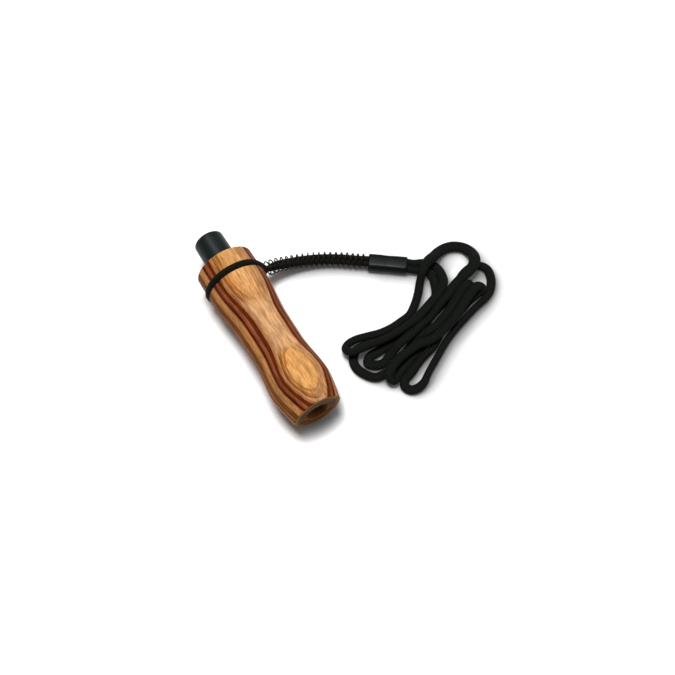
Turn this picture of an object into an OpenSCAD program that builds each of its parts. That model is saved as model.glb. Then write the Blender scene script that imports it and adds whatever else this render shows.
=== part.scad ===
// Bird call: a turned, bored wooden barrel, a push-in mouthpiece with its reed, and a noose lanyard
// that lies folded on the table. The call lies on its side along X, mouthpiece towards -X, and the
// origin is on the table under the middle of the call. All sizes are in millimetres.

/* [Barrel] */
// Length of the wooden barrel
barrel_length = 96.5; // [80:0.5:120]
// Greatest diameter of the barrel, at its shoulder and its bell
barrel_d = 32.2; // [27:0.2:38]
// How far the rim at the mouthpiece end lies inside the greatest radius
rim_step = 0.3; // [0.1:0.1:1]
// How far the waist lies inside the greatest radius
waist_depth = 2; // [1:0.1:3]
// How far the end of the bell lies inside the greatest radius
bell_end_depth = 3; // [1.5:0.1:4]
// Diameter of the bore through the barrel
bore_d = 12.7; // [12:0.1:13.5]
// Rounding of the barrel's two outer edges
edge_r = 0.8; // [0.4:0.1:1.4]
// Bevel round the bore's mouth in the bell
bore_bevel = 0.6; // [0.3:0.1:1]
// Distance of the noose groove from the mouthpiece end
groove_at = 11.5; // [9:0.5:20]
// How far the noose stands out of its groove on top
noose_proud = 1.1; // [0.8:0.1:1.4]

/* [Mouthpiece] */
// Outer diameter of the mouthpiece where it enters the barrel
mouthpiece_d = 16.8; // [16:0.1:17.8]
// How far the lip narrows to its tip, on its radius
lip_taper = 0.2; // [0.1:0.1:0.8]
// Length of the lip that shows outside the barrel
lip_length = 18.5; // [13:0.5:24]
// Rounding of the lip's outer edge
lip_round = 2; // [1.2:0.1:2.6]
// Length of the plug inside the barrel
plug_length = 27; // [22:0.5:32]
// Width of the flat left round the air hole at the tip
tip_flat = 2.6; // [1.8:0.1:3.2]
// Length of the air hole
air_hole_length = 9; // [6:0.5:11]
// Wall left between the O-rings and the chamber that holds the reed
ring_wall = 1.2; // [0.9:0.1:1.4]
// Thickness of the O-rings
o_ring_d = 1.5; // [1.2:0.1:1.6]
// Distance of each O-ring from its end of the plug
o_ring_inset = 5; // [3:0.5:7]
// Radial clearance of the mouthpiece in the barrel
socket_clearance = 0.1; // [0.05:0.01:0.15]

/* [Reed] */
// Length of the tongue that the reed beats on
tongue_length = 19; // [14:0.5:19.5]
// Gap between the tongue and the chamber's wall
tongue_gap = 0.7; // [0.5:0.1:1]
// Length of the seat under the wedge
seat_length = 13; // [10:0.5:14]
// Length of the tone board's collar
collar_length = 3; // [2:0.5:4]
// Height of the reed's seat above the axis
seat_rise = 0.9; // [0.5:0.1:1.4]
// Floor left under the air trough
trough_floor = 1.6; // [1:0.1:2]
// Gap between the reed's edges and the chamber's wall
reed_gap = 1.7; // [1.4:0.1:2]
// Thickness of the reed
reed_t = 0.35; // [0.25:0.05:0.4]
// Slope of the facing under the reed, in degrees
facing_slope = 2.4; // [2.3:0.1:3.4]
// Extra fall of the facing at its tip, from its curve
facing_curve = 0.4; // [0.2:0.1:0.8]
// Slope of the wedge's underside behind its front edge, in degrees
wedge_relief = 2.4; // [2.3:0.1:3]

/* [Lanyard] */
// Diameter of the noose cord
noose_d = 2.8; // [2.4:0.1:2.8]
// Diameter of the neck cord
neck_d = 3.8; // [3.4:0.1:3.8]
// Inner diameter of the coil
coil_inner_d = 6.2; // [6.2:0.1:6.6]
// Diameter of the coil's wire
wire_d = 0.6; // [0.5:0.05:0.8]
// Number of turns of the coil
coil_turns = 19; // [12:1:26]
// Length of the sleeve
sleeve_length = 21; // [18:0.5:24]
// Wall of the sleeve beside the neck cord
sleeve_wall = 0.6; // [0.4:0.1:0.8]
// Height of the sleeve
sleeve_height = 5.6; // [5.4:0.1:6.2]
// Depth to which each cord end is held in the sleeve
grip_length = 9; // [7:0.5:9]

/* [Hidden] */
$fn = 64;

// Clearance of pieces that are pushed together
fit = 0.05;
// Clearance between a cord and what it lies against
cord_gap = 0.1;
// Run of a cut past the face that it opens
overrun = 1;

// Stations of the barrel's outline, as shares of its length
shoulder_share = 0.175;
waist_from_share = 0.445;
waist_to_share = 0.59;
bell_share = 0.83;
// Power of the curve from the bell's greatest diameter to its end
bell_power = 1.35;
// Steps of the outline and of its rounded edges
outline_steps = 44;
edge_steps = 5;
lip_steps = 7;

// Places along the call
call_length = lip_length + barrel_length;
tip_x = -call_length / 2;
rim_x = tip_x + lip_length;
axis_z = barrel_d / 2;
plug_end = lip_length + plug_length;
socket_d = mouthpiece_d + 2 * socket_clearance;
socket_length = plug_length + 2 * fit;
socket_bevel = edge_r / 3;

// Radius of the barrel at a distance from its mouthpiece end
function eased(a, b, t) = a + (b - a) * (1 - cos(180 * t)) / 2;
function between(x, a, b) = (x - a) / (b - a);
shoulder_at = shoulder_share * barrel_length;
waist_from = waist_from_share * barrel_length;
waist_to = waist_to_share * barrel_length;
bell_at = bell_share * barrel_length;
function barrel_r(x) = barrel_d / 2 - (
    x < shoulder_at ? eased(rim_step, 0, x / shoulder_at)
    : x < waist_from ? eased(0, waist_depth, between(x, shoulder_at, waist_from))
    : x < waist_to ? waist_depth
    : x < bell_at ? eased(waist_depth, 0, between(x, waist_to, bell_at))
    : bell_end_depth * pow(between(x, bell_at, barrel_length), bell_power));

// The noose and its groove lie in a ring that is set higher than the call's axis, so that the cord
// stands out on top and stays clear of the table below
groove_r = noose_d / 2 + cord_gap;
shoulder_r = barrel_r(groove_at);
noose_top = axis_z + shoulder_r + noose_proud;
noose_r = (noose_top - cord_gap / 2 - noose_d) / 2;
noose_z = noose_top - noose_d / 2 - noose_r;
noose_x = rim_x + groove_at;

// The wood's turned outline, with both outer edges rounded
module barrel_outline() {
    last_x = barrel_length - edge_r;
    body = [for (i = [0:outline_steps])
        let (x = edge_r + (last_x - edge_r) * i / outline_steps) [barrel_r(x), x]];
    rim_edge = [for (i = [0:edge_steps - 1])
        let (a = 90 * i / edge_steps)
        [barrel_r(edge_r) - edge_r * (1 - sin(a)), edge_r * (1 - cos(a))]];
    bell_edge = [for (i = [1:edge_steps])
        let (a = 90 * i / edge_steps)
        [barrel_r(last_x) - edge_r * (1 - cos(a)), last_x + edge_r * sin(a)]];
    polygon(concat([[0, 0]], rim_edge, body, bell_edge, [[0, barrel_length]]));
}

// Turns a shape that stands on Z so that it lies along the call, from a place on its axis
module lying(x) {
    translate([x, 0, axis_z]) rotate([0, 90, 0]) children();
}

// A ring cut or a ring of round section about the call's axis
module ring_round(r, section_r) {
    rotate_extrude() translate([r, 0]) circle(section_r, $fn = 24);
}

// Round floor and straight sides of the noose groove
module groove_section() {
    translate([noose_r, 0]) circle(groove_r, $fn = 24);
    translate([noose_r, -groove_r]) square([noose_proud + noose_d, 2 * groove_r]);
}

module barrel() {
    color("#b8793f") difference() {
        lying(rim_x) rotate_extrude() barrel_outline();
        lying(rim_x - overrun) cylinder(h = barrel_length + 2 * overrun, d = bore_d);
        lying(rim_x - overrun) cylinder(h = socket_length + overrun, d = socket_d);
        lying(rim_x) cylinder(h = socket_bevel, d1 = socket_d + 2 * socket_bevel, d2 = socket_d);
        lying(rim_x + barrel_length - bore_bevel)
            cylinder(h = bore_bevel, d1 = bore_d, d2 = bore_d + 2 * bore_bevel);
        translate([noose_x, 0, noose_z]) rotate([0, 90, 0]) rotate_extrude() groove_section();
    }
}

// Places of the O-rings from the lip's tip, and the hollows that follow from them
ring_floor_r = socket_d / 2 - fit - o_ring_d;
chamber_r = ring_floor_r - ring_wall;
chamber_d = 2 * chamber_r;
lip_tip_r = mouthpiece_d / 2 - lip_taper;
air_hole_d = 2 * (lip_tip_r - lip_round - tip_flat);
ring_cut_w = o_ring_d + 4 * fit;
front_ring_at = lip_length + o_ring_inset;
rear_ring_at = plug_end - o_ring_inset;

// The mouthpiece's outside: a lip with a rounded edge that widens to a straight plug
module mouthpiece_outline() {
    lip_edge = [for (i = [0:lip_steps])
        let (a = 90 * i / lip_steps)
        [lip_tip_r - lip_round * (1 - sin(a)), lip_round * (1 - cos(a))]];
    polygon(concat([[0, 0]], lip_edge, [[mouthpiece_d / 2, lip_length],
        [mouthpiece_d / 2, plug_end - edge_r], [mouthpiece_d / 2 - edge_r / 2, plug_end],
        [0, plug_end]]));
}

module ring_cut(at) {
    lying(tip_x + at - ring_cut_w / 2) difference() {
        cylinder(h = ring_cut_w, r = mouthpiece_d / 2 + overrun);
        translate([0, 0, -overrun]) cylinder(h = ring_cut_w + 2 * overrun, r = ring_floor_r - fit / 2);
    }
}

module mouthpiece() {
    color("#16181a") difference() {
        lying(tip_x) rotate_extrude() mouthpiece_outline();
        lying(tip_x - overrun) cylinder(h = plug_end, d = air_hole_d);
        lying(tip_x) cylinder(h = bore_bevel, d1 = air_hole_d + bore_bevel, d2 = air_hole_d);
        lying(tip_x + air_hole_length)
            cylinder(h = plug_end - air_hole_length + overrun, d = chamber_d);
        ring_cut(front_ring_at);
        ring_cut(rear_ring_at);
    }
}

module o_ring(at) {
    color("#0c0c0c") lying(tip_x + at) ring_round(ring_floor_r + o_ring_d / 2, o_ring_d / 2);
}

module front_o_ring() {
    o_ring(front_ring_at);
}

module rear_o_ring() {
    o_ring(rear_ring_at);
}

// Places along the reed assembly: tongue, seat under the wedge, then the collar at the plug's end
board_r = chamber_r - fit;
tongue_r = chamber_r - tongue_gap;
reed_w = 2 * (chamber_r - reed_gap);
trough_share = 0.53;
trough_w = trough_share * reed_w;
collar_end = plug_end;
seat_end = collar_end - collar_length;
heel_at = seat_end - seat_length;
tongue_at = heel_at - tongue_length;
seat_z = axis_z + seat_rise;
facing_steps = 8;

// Fall of the facing below the seat at a distance ahead of the wedge
function facing_fall(s) = s * tan(facing_slope) + facing_curve * pow(s / tongue_length, 2);

// The tongue seen from the side: flat below, and on top the facing that curves away to the tip
module facing_profile() {
    top = [for (i = [0:facing_steps])
        let (s = tongue_length * i / facing_steps) [-s, seat_rise - facing_fall(s)]];
    polygon(concat(top, [[-tongue_length, -chamber_d], [0, -chamber_d]]));
}

module tone_board() {
    color("#2a2d2f") difference() {
        union() {
            intersection() {
                lying(tip_x + tongue_at) cylinder(h = tongue_length, r = tongue_r);
                translate([tip_x + heel_at, 0, axis_z]) rotate([90, 0, 0])
                    linear_extrude(chamber_d, center = true) facing_profile();
            }
            intersection() {
                lying(tip_x + heel_at) cylinder(h = seat_length, r = board_r);
                translate([tip_x + heel_at, -chamber_d / 2, axis_z - chamber_d])
                    cube([seat_length, chamber_d, chamber_d + seat_rise]);
            }
            lying(tip_x + seat_end) cylinder(h = collar_length, r = board_r);
        }
        trough_r = trough_w / 2;
        trough_at = tongue_at + trough_r;
        trough_z = axis_z - tongue_r + trough_floor + trough_r;
        translate([tip_x + trough_at, 0, trough_z]) rotate([0, 90, 0])
            cylinder(h = collar_end - trough_at + overrun, d = trough_w);
        translate([tip_x + trough_at, -trough_r, trough_z])
            cube([seat_end - trough_at, trough_w, seat_z - trough_z + overrun]);
    }
}

// The reed lies flat on the seat and stands clear of the facing
module reed() {
    tip_round = reed_w / 2;
    reed_from = tongue_at + fit;
    color("#d9dcdc") translate([tip_x + reed_from, 0, seat_z + fit / 2]) linear_extrude(reed_t) union() {
        translate([tip_round, 0]) circle(tip_round);
        translate([tip_round, -tip_round])
            square([seat_end - fit - reed_from - tip_round, reed_w]);
    }
}

// The wedge fills the round of the chamber over the reed's heel. Its front face slopes, and its
// underside rises behind the front edge, which leaves the reed room to turn
module wedge() {
    wedge_z = seat_z + reed_t + fit;
    wedge_h = board_r - (wedge_z - axis_z);
    rear_rise = seat_length * tan(wedge_relief);
    color("#b08a5a") intersection() {
        lying(tip_x + heel_at) cylinder(h = seat_length - fit, r = board_r - fit / 2);
        translate([tip_x + heel_at, 0, wedge_z]) rotate([90, 0, 0])
            linear_extrude(chamber_d, center = true)
            polygon([[0, 0], [wedge_h / 2, wedge_h], [seat_length, wedge_h], [seat_length, rear_rise]]);
    }
}

// Vector helpers for the cords
function unit(v) = v / norm(v);
function squared(v, t) = unit(v - (v * t) * t);
function tangent(p, i) = unit(p[min(i + 1, len(p) - 1)] - p[max(i - 1, 0)]);

// Point of a smooth curve through a list of points, at a place counted in points
function curve_point(p, u) =
    let (n = len(p) - 1, i = min(floor(u), n - 1), t = u - i,
         b = p[i], c = p[i + 1],
         a = i > 0 ? p[i - 1] : 2 * b - c,
         d = i < n - 1 ? p[i + 2] : 2 * c - b)
    (2 * b + (c - a) * t + (2 * a - 5 * b + 4 * c - d) * t * t
        + (3 * b - a - 3 * c + d) * t * t * t) / 2;

// One unbroken tube of triangles along points; the refs turn each ring alike
module tube(p, refs, t, r, sides) {
    n = len(p);
    points = [for (i = [0:n - 1])
        let (side = squared(refs[i], t[i]), over = cross(t[i], side))
        for (k = [0:sides - 1])
        let (a = 360 * k / sides) p[i] + r * (cos(a) * side + sin(a) * over)];
    walls = [for (i = [0:n - 2], k = [0:sides - 1], half = [0:1])
        let (m = (k + 1) % sides, low = i * sides, high = low + sides)
        half == 0 ? [low + k, high + k, low + m] : [low + m, high + k, high + m]];
    start_cap = [for (k = [1:sides - 2]) [0, k, k + 1]];
    end_at = (n - 1) * sides;
    end_cap = [for (k = [1:sides - 2]) [end_at, end_at + k + 1, end_at + k]];
    polyhedron(points, concat(walls, start_cap, end_cap));
}

// The sleeve lies flat on the table, and its two ends are places on this line
sleeve_end = [5.2, 87.2];
sleeve_turn = 53;
sleeve_dir = [cos(sleeve_turn), sin(sleeve_turn), 0];
sleeve_side = [sin(sleeve_turn), -cos(sleeve_turn), 0];
sleeve_z = sleeve_height / 2;
neck_pitch = neck_d + cord_gap;
leg_pitch = noose_d + cord_gap;
function sleeve_place(along, side, z) =
    [sleeve_end[0], sleeve_end[1], z] + (along - sleeve_length) * sleeve_dir + side * sleeve_side;

// A turn is drawn in straight pieces: their corners stand a little outside the true coil and their
// middles a little inside. A leg's centre may stand off the coil's axis by what is left beside it
turn_steps = 8;
turn_flat = cos(180 / turn_steps);
coil_r = (coil_inner_d + wire_d) / 2 / sqrt(turn_flat);
coil_z = coil_r + wire_d / 2 + fit;
leg_reach = coil_r * turn_flat - wire_d / 2 - noose_d / 2 - cord_gap;
leg_sag = sqrt(max(0, pow(leg_reach, 2) - pow(leg_pitch / 2, 2)));
leg_z = coil_z - leg_sag;

module flat_round(width, height, length) {
    for (side = [-1, 1])
        translate([0, side * (width - height) / 2, 0]) rotate([0, 90, 0]) cylinder(h = length, d = height);
    translate([0, -(width - height) / 2, -height / 2]) cube([length, width - height, height]);
}

module sleeve() {
    outer_w = neck_pitch + neck_d + 2 * cord_gap + 2 * sleeve_wall;
    neck_hole_d = neck_d + cord_gap;
    leg_hole_d = noose_d + cord_gap;
    neck_hole_w = neck_pitch + neck_hole_d;
    leg_hole_w = leg_pitch + leg_hole_d;
    color("#1d2422") translate(sleeve_place(0, 0, sleeve_z)) rotate([0, 0, sleeve_turn]) difference() {
        flat_round(outer_w, sleeve_height, sleeve_length);
        translate([sleeve_length - grip_length, 0, 0])
            flat_round(neck_hole_w, neck_hole_d, grip_length + overrun);
        translate([-overrun, 0, leg_z - sleeve_z])
            flat_round(leg_hole_w, leg_hole_d, grip_length + overrun);
    }
}

// The coil's axis: down from the barrel's side on to the table and round to the sleeve
coil_mouth = [noose_x - 0.6, shoulder_r + 2.9, 11.2];
coil_route = concat([coil_mouth],
    [[-28.5, 25, 9.2], [-27.6, 31.2, 7.4], [-26.2, 37.4, 5.9], [-24.3, 43.4, 4.8], [-21.8, 49.2, 4.1]],
    [for (xy = [[-18.7, 54.6], [-15.1, 59.9], [-11.3, 64.9]]) [xy[0], xy[1], coil_z]],
    [sleeve_place(-1.8 * wire_d, 0, coil_z)]);
coil_last = len(coil_route) - 1;
table_up = [0, 0, 1];
function coil_dir(u) =
    u > coil_last - 0.1 ? sleeve_dir
    : unit(curve_point(coil_route, min(u + 0.05, coil_last)) - curve_point(coil_route, max(u - 0.05, 0)));
function coil_side(u) = unit(cross(coil_dir(u), table_up));
function coil_over(u) = cross(coil_side(u), coil_dir(u));

// The helix, with a short straight end along the coil's axis at each end
wire_steps = coil_turns * turn_steps;
function wire_out(i) =
    let (u = coil_last * i / wire_steps, a = 180 + 360 * i / turn_steps)
    cos(a) * coil_side(u) + sin(a) * coil_over(u);
wire_turns = [for (i = [0:wire_steps])
    curve_point(coil_route, coil_last * i / wire_steps) + coil_r * wire_out(i)];
wire_bend = wire_turns[wire_steps] + wire_d * (0.8 * sleeve_dir - 0.6 * table_up);
wire_start = wire_turns[0] - wire_d * (0.8 * coil_dir(0) - 0.6 * coil_over(0));
wire_path = concat([wire_start - wire_d * coil_dir(0), wire_start], wire_turns,
    [wire_bend, wire_bend + wire_d * sleeve_dir]);
wire_last = len(wire_path) - 1;
wire_refs = [for (i = [0:wire_last]) wire_out(max(0, min(i - 2, wire_steps)))];
wire_dirs = [for (i = [0:wire_last])
    i < 2 ? coil_dir(0) : i > wire_last - 2 ? sleeve_dir : tangent(wire_path, i)];

module coil_spring() {
    color("#131414") tube(wire_path, wire_refs, wire_dirs, wire_d / 2, 6);
}

// The two legs lie one over the other at the barrel and soon turn to lie side by side
leg_steps = 20;
leg_turn_share = 0.12;
leg_start = 66;
leg_lean = 20;
function leg_angle(u) =
    let (t = u / coil_last) t < leg_turn_share ? leg_start + (leg_lean - leg_start) * t / leg_turn_share
        : leg_lean * (1 - between(t, leg_turn_share, 1));
function leg_place(u, way) =
    let (a = leg_angle(u))
    curve_point(coil_route, u)
        + (way * leg_pitch / 2 * cos(a) + leg_sag * sin(a)) * coil_side(u)
        + (way * leg_pitch / 2 * sin(a) - leg_sag * cos(a)) * coil_over(u);
function leg_run(way) = [for (i = [0:leg_steps - 1]) leg_place(coil_last * i / leg_steps, way)];
function leg_stub(way) = [for (along = [0, grip_length / 2, grip_length - cord_gap])
    sleeve_place(along, way * leg_pitch / 2, leg_z)];

// The loop round the barrel, from its upper leg over the top to its lower leg
function noose_place(a) = [noose_x, noose_r * cos(a), noose_z + noose_r * sin(a)];
loop_from = 26;
loop_to = 300;
loop_steps = 30;
upper_turn = [[noose_x + 0.2, noose_r + 1.9, 16.4], [noose_x, noose_r + 0.2, 20]];
lower_turn = [[noose_x, noose_r - 3.5, 5.8], [noose_x + 0.2, noose_r + 0.1, 8]];
noose_loop = [for (i = [0:loop_steps]) noose_place(loop_from + (loop_to - loop_from) * i / loop_steps)];
function reversed(p) = [for (i = [len(p) - 1:-1:0]) p[i]];
noose_path = concat(reversed(leg_stub(1)), reversed(leg_run(1)), upper_turn, noose_loop, lower_turn,
    leg_run(-1), leg_stub(-1));
noose_last = len(noose_path) - 1;
noose_dirs = [for (i = [0:noose_last])
    i == 0 ? -sleeve_dir : i == noose_last ? sleeve_dir : tangent(noose_path, i)];
noose_refs = [for (i = [0:noose_last]) [1, 0, 0]];

module noose_cord() {
    color("#111212") tube(noose_path, noose_refs, noose_dirs, noose_d / 2, 8);
}

// The neck cord's route: heights of cord on the table and of cord that lies on another cord
low = 2;
up = 6.4;
outer_points = [[8, 96, low], [13.5, 100.5, low], [21, 100, 2.4]];
hank_points = [
    // from the sleeve's outer strand down to the first fold
    [26, 96.5, 5], [29.5, 91, up], [31.5, 86, up], [34, 79, up], [36.5, 70, up], [37.5, 61, up],
    [37.5, 53, up], [36.5, 45, up], [35.5, 38.5, up], [34.5, 33.5, 6.2], [31, 32.5, 4.5],
    [28.5, 35.5, 2.8], [28, 40.5, low],
    // back along the side, over the sleeve's strands and round the wide arch
    [29.5, 46.5, low], [31.5, 54, low], [32, 60, low], [31.5, 66, low], [30.5, 72.5, low],
    [27, 78, low], [22, 83.5, low], [17, 88, 3.8], [13.5, 92, up], [10.5, 96.5, 6.8],
    [9, 101.5, 5.4], [7, 106.5, 3], [6.5, 111.5, low], [8, 116, low], [11.5, 120, low],
    [17, 121.5, 3.4], [21.5, 120, 6], [24.5, 117.5, up], [26.5, 112.5, up], [28, 106.5, up],
    [30, 100.5, up], [33, 95, up], [35, 89.5, up], [39, 80, up], [41, 71, up], [42.5, 63, up],
    [43.5, 57, 5.6], [45, 51.5, 3.2], [47, 46, low],
    // the small inner fold and back under the arch
    [46, 42, low], [43, 39, low], [40.5, 41.5, low], [40, 47, low], [40.5, 56, low],
    [41, 64, low], [40.5, 72, low], [38, 80, low], [35, 89.5, low], [33, 96, low],
    [29.5, 102, low], [26, 108, low], [24, 113.5, low], [24, 118.5, low], [26, 122, low],
    [29.5, 123.5, low], [35, 122, low], [39.5, 118.5, low], [43, 113, low],
    // the long outer run and the widest fold
    [45.5, 103.5, low], [48, 95.5, low], [50.5, 88, low], [54, 80, low], [58.5, 72, low],
    [64, 62.5, low], [67, 58, low], [68, 53.5, low], [67, 50, low], [64, 48.5, low],
    [61, 50, low], [59.5, 54, low], [57, 60, low], [55, 66, low], [52.5, 74, low],
    [48.5, 80.5, low], [45.5, 88, low], [43, 95.5, low], [40.5, 102.5, low], [39.5, 107.5, 2.2],
    // the upper fold, and down over the others
    [39, 111, 2.8], [38, 113.5, 5], [36.5, 111.5, up], [37.5, 107.5, up], [40.5, 101, up],
    [44, 94.5, up], [47, 87.5, up], [49, 80.5, up], [50, 73, up], [49, 66, up], [49.5, 59, up],
    [50.5, 53, up], [52.5, 47.5, up], [55.5, 44, 5.6], [58.5, 44.5, 4], [56.5, 49, 2.6],
    [54, 55.5, low], [52, 60.5, low], [50, 66.5, low], [48, 73, low], [43.5, 80.5, low],
    [40.5, 88, low], [38, 95.5, low], [35.5, 101.5, low], [35, 105.5, low],
    // the last fold, and down and round the open loop to the sleeve's inner strand
    [34, 108.5, 2.8], [32.5, 109, 5.2], [33.5, 104.5, up], [35.5, 100.5, up], [39, 94, up],
    [42, 87.5, up], [44.5, 80.5, up], [45, 74, 6], [45, 68, 3.4], [46.5, 62.5, low],
    [48.5, 57.5, low], [50.5, 52, low], [52, 47.5, low], [52.5, 42.5, low], [51.5, 38, low],
    [47.5, 34.5, low], [42, 32.5, low], [37, 33.5, low], [33.5, 37.5, low], [33.5, 44, low],
    [36, 52, low], [36.5, 60, low], [36, 68.5, low], [33, 80.5, low], [31, 87.5, low],
    [27.5, 91.5, low]];
inner_points = [[23, 94, low], [18.5, 95.5, low], [14, 95, low]];
function neck_stub(way) = [for (along = [cord_gap - grip_length, -grip_length / 2, 0, neck_d])
    sleeve_place(sleeve_length + along, way * neck_pitch / 2, along > 0 ? (low + sleeve_z) / 2 : sleeve_z)];
outer_path = concat(neck_stub(-1), outer_points);
inner_path = concat(inner_points, reversed(neck_stub(1)));
neck_path = concat(outer_path, hank_points, inner_path);
neck_last = len(neck_path) - 1;
neck_dirs = [for (i = [0:neck_last])
    i == 0 ? sleeve_dir : i == neck_last ? -sleeve_dir : tangent(neck_path, i)];

// A stretch of the neck cord between two of its points
module neck_stretch(from, to, sides) {
    p = [for (i = [from:to]) neck_path[i]];
    t = [for (i = [from:to]) neck_dirs[i]];
    refs = [for (i = [from:to]) table_up];
    tube(p, refs, t, neck_d / 2, sides);
}

hank_from = len(outer_path);
hank_to = hank_from + len(hank_points) - 1;

module neck_cord_outer_end() {
    color("#141515") neck_stretch(0, hank_from, 8);
}

module neck_cord_hank() {
    color("#141515") neck_stretch(hank_from, hank_to, 6);
}

module neck_cord_inner_end() {
    color("#141515") neck_stretch(hank_to, neck_last, 8);
}

// Least gap of a wound tube to itself, on points between its rings
function fine(p, parts) = concat([for (i = [0:len(p) - 2], k = [0:parts - 1])
    p[i] + (p[i + 1] - p[i]) * k / parts], [p[len(p) - 1]]);
function least_gap(p, apart, d) =
    min([for (i = [0:len(p) - 1 - apart]) min([for (j = [i + apart:len(p) - 1]) norm(p[i] - p[j])])]) - d;
echo(hank_least_gap = least_gap(fine(hank_points, 3), 8, neck_d));
echo(coil_least_gap = least_gap(wire_turns, turn_steps - 2, wire_d));
cord_steps = [for (i = [1:neck_last]) norm(neck_path[i] - neck_path[i - 1])];
noose_steps = [for (i = [1:noose_last]) norm(noose_path[i] - noose_path[i - 1])];
function total(v, i = 0) = i < len(v) ? v[i] + total(v, i + 1) : 0;
echo(neck_cord_length = total(cord_steps), noose_cord_length = total(noose_steps));

barrel();
mouthpiece();
front_o_ring();
rear_o_ring();
tone_board();
reed();
wedge();
noose_cord();
coil_spring();
sleeve();
neck_cord_outer_end();
neck_cord_hank();
neck_cord_inner_end();
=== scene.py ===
# %% [markdown]
# # A turned bird call with a noose lanyard
# The call is a wooden barrel turned on a lathe from laminated, dyed veneers, with a black
# mouthpiece pushed into one end. A thin cord is noosed round the barrel, runs through a coil of
# black wire into a sleeve, and a thicker neck cord leaves the sleeve and lies folded on the table.
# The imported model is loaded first. It fixes the place and the size of everything, and this script
# adds the looks.

# %% Load the model
import math

import bpy
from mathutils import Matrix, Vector, kdtree, noise


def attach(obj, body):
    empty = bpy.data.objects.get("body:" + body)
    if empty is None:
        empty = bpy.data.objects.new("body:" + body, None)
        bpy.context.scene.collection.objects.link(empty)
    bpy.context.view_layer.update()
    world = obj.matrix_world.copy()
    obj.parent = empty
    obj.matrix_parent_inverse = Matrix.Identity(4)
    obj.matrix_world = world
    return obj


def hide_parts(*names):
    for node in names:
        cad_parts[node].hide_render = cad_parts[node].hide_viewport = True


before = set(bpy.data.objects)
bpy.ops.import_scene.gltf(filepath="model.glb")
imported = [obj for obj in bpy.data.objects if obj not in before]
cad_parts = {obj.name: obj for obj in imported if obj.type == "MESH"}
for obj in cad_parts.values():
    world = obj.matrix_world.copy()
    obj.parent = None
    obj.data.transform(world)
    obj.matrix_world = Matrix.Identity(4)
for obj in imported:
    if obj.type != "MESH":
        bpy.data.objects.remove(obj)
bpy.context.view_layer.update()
MM = 0.001

# %% [markdown]
# ## The camera
# The photograph looks steeply down on the table. A camera placed by eye would need much trial and
# error, so its place was worked out instead: the turned rings of the barrel are circles, and the
# ovals that they make in the picture fix the direction, the distance and the lens.

# %% Make the camera
camera_place = Vector((233.6, -95.2, 534.4)) * MM
camera_target = Vector((27.54, 29.65, 15.6)) * MM
camera_data = bpy.data.cameras.new("camera")
camera_data.lens = 59.49
camera_data.sensor_width = 36
camera_data.clip_start = 0.01
camera_data.clip_end = 20
camera = bpy.data.objects.new("camera", camera_data)
bpy.context.collection.objects.link(camera)
camera.location = camera_place
camera.rotation_mode = "QUATERNION"
camera.rotation_quaternion = (camera_target - camera_place).to_track_quat("-Z", "Y")
bpy.context.scene.camera = camera
print("camera distance, in mm:", round((camera_target - camera_place).length / MM))

# %% [markdown]
# ## Lines for the cords
# A cord is a long tube on a smooth line. The points that the line passes through are the same
# round numbers, in millimetres, that the model's own source uses. A curve through them by the
# usual spline swings out where points are unevenly spaced, so each part is timed by the root of
# its length, which keeps the line close to the points in a tight fold.

# %% A smooth line through points, with evenly spaced steps
dense_step = 0.2


def smooth_line(points, step):
    p = [Vector(q) for q in points]
    p = [2 * p[0] - p[1]] + p + [2 * p[-1] - p[-2]]
    dense = []
    for a, b, c, d in zip(p, p[1:], p[2:], p[3:]):
        t0 = 0
        t1 = t0 + math.sqrt((b - a).length)
        t2 = t1 + math.sqrt((c - b).length)
        t3 = t2 + math.sqrt((d - c).length)
        parts = max(2, math.ceil((c - b).length / dense_step))
        for k in range(parts):
            t = t1 + (t2 - t1) * k / parts
            a1 = a.lerp(b, (t - t0) / (t1 - t0))
            a2 = b.lerp(c, (t - t1) / (t2 - t1))
            a3 = c.lerp(d, (t - t2) / (t3 - t2))
            b1 = a1.lerp(a2, (t - t0) / (t2 - t0))
            b2 = a2.lerp(a3, (t - t1) / (t3 - t1))
            dense.append(b1.lerp(b2, (t - t1) / (t2 - t1)))
    dense.append(p[-2])
    return even_line(dense, step)


def even_line(dense, step):
    runs = [(b - a).length for a, b in zip(dense, dense[1:])]
    count = max(2, round(sum(runs) / step))
    spacing = sum(runs) / count
    line, travelled, want = [dense[0]], 0, spacing
    for a, b, run in zip(dense, dense[1:], runs):
        while run > 0 and travelled + run >= want - 1e-9 and len(line) < count:
            line.append(a.lerp(b, (want - travelled) / run))
            want += spacing
        travelled += run
    line.append(dense[-1])
    return line


def line_length(line):
    return sum((b - a).length for a, b in zip(line, line[1:]))


# %% [markdown]
# ## Tubes for the cords and the wire
# A curve object with a bevel would draw a tube, but it carries no map of length and girth for a
# braid to follow. So the rings are set out here, each turned as little as possible from the last
# one or, on a flat cord, kept level, and the tube gets a map in real millimetres: girth across and
# length along.

# %% A tube along a line
wander_length = 7


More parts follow.
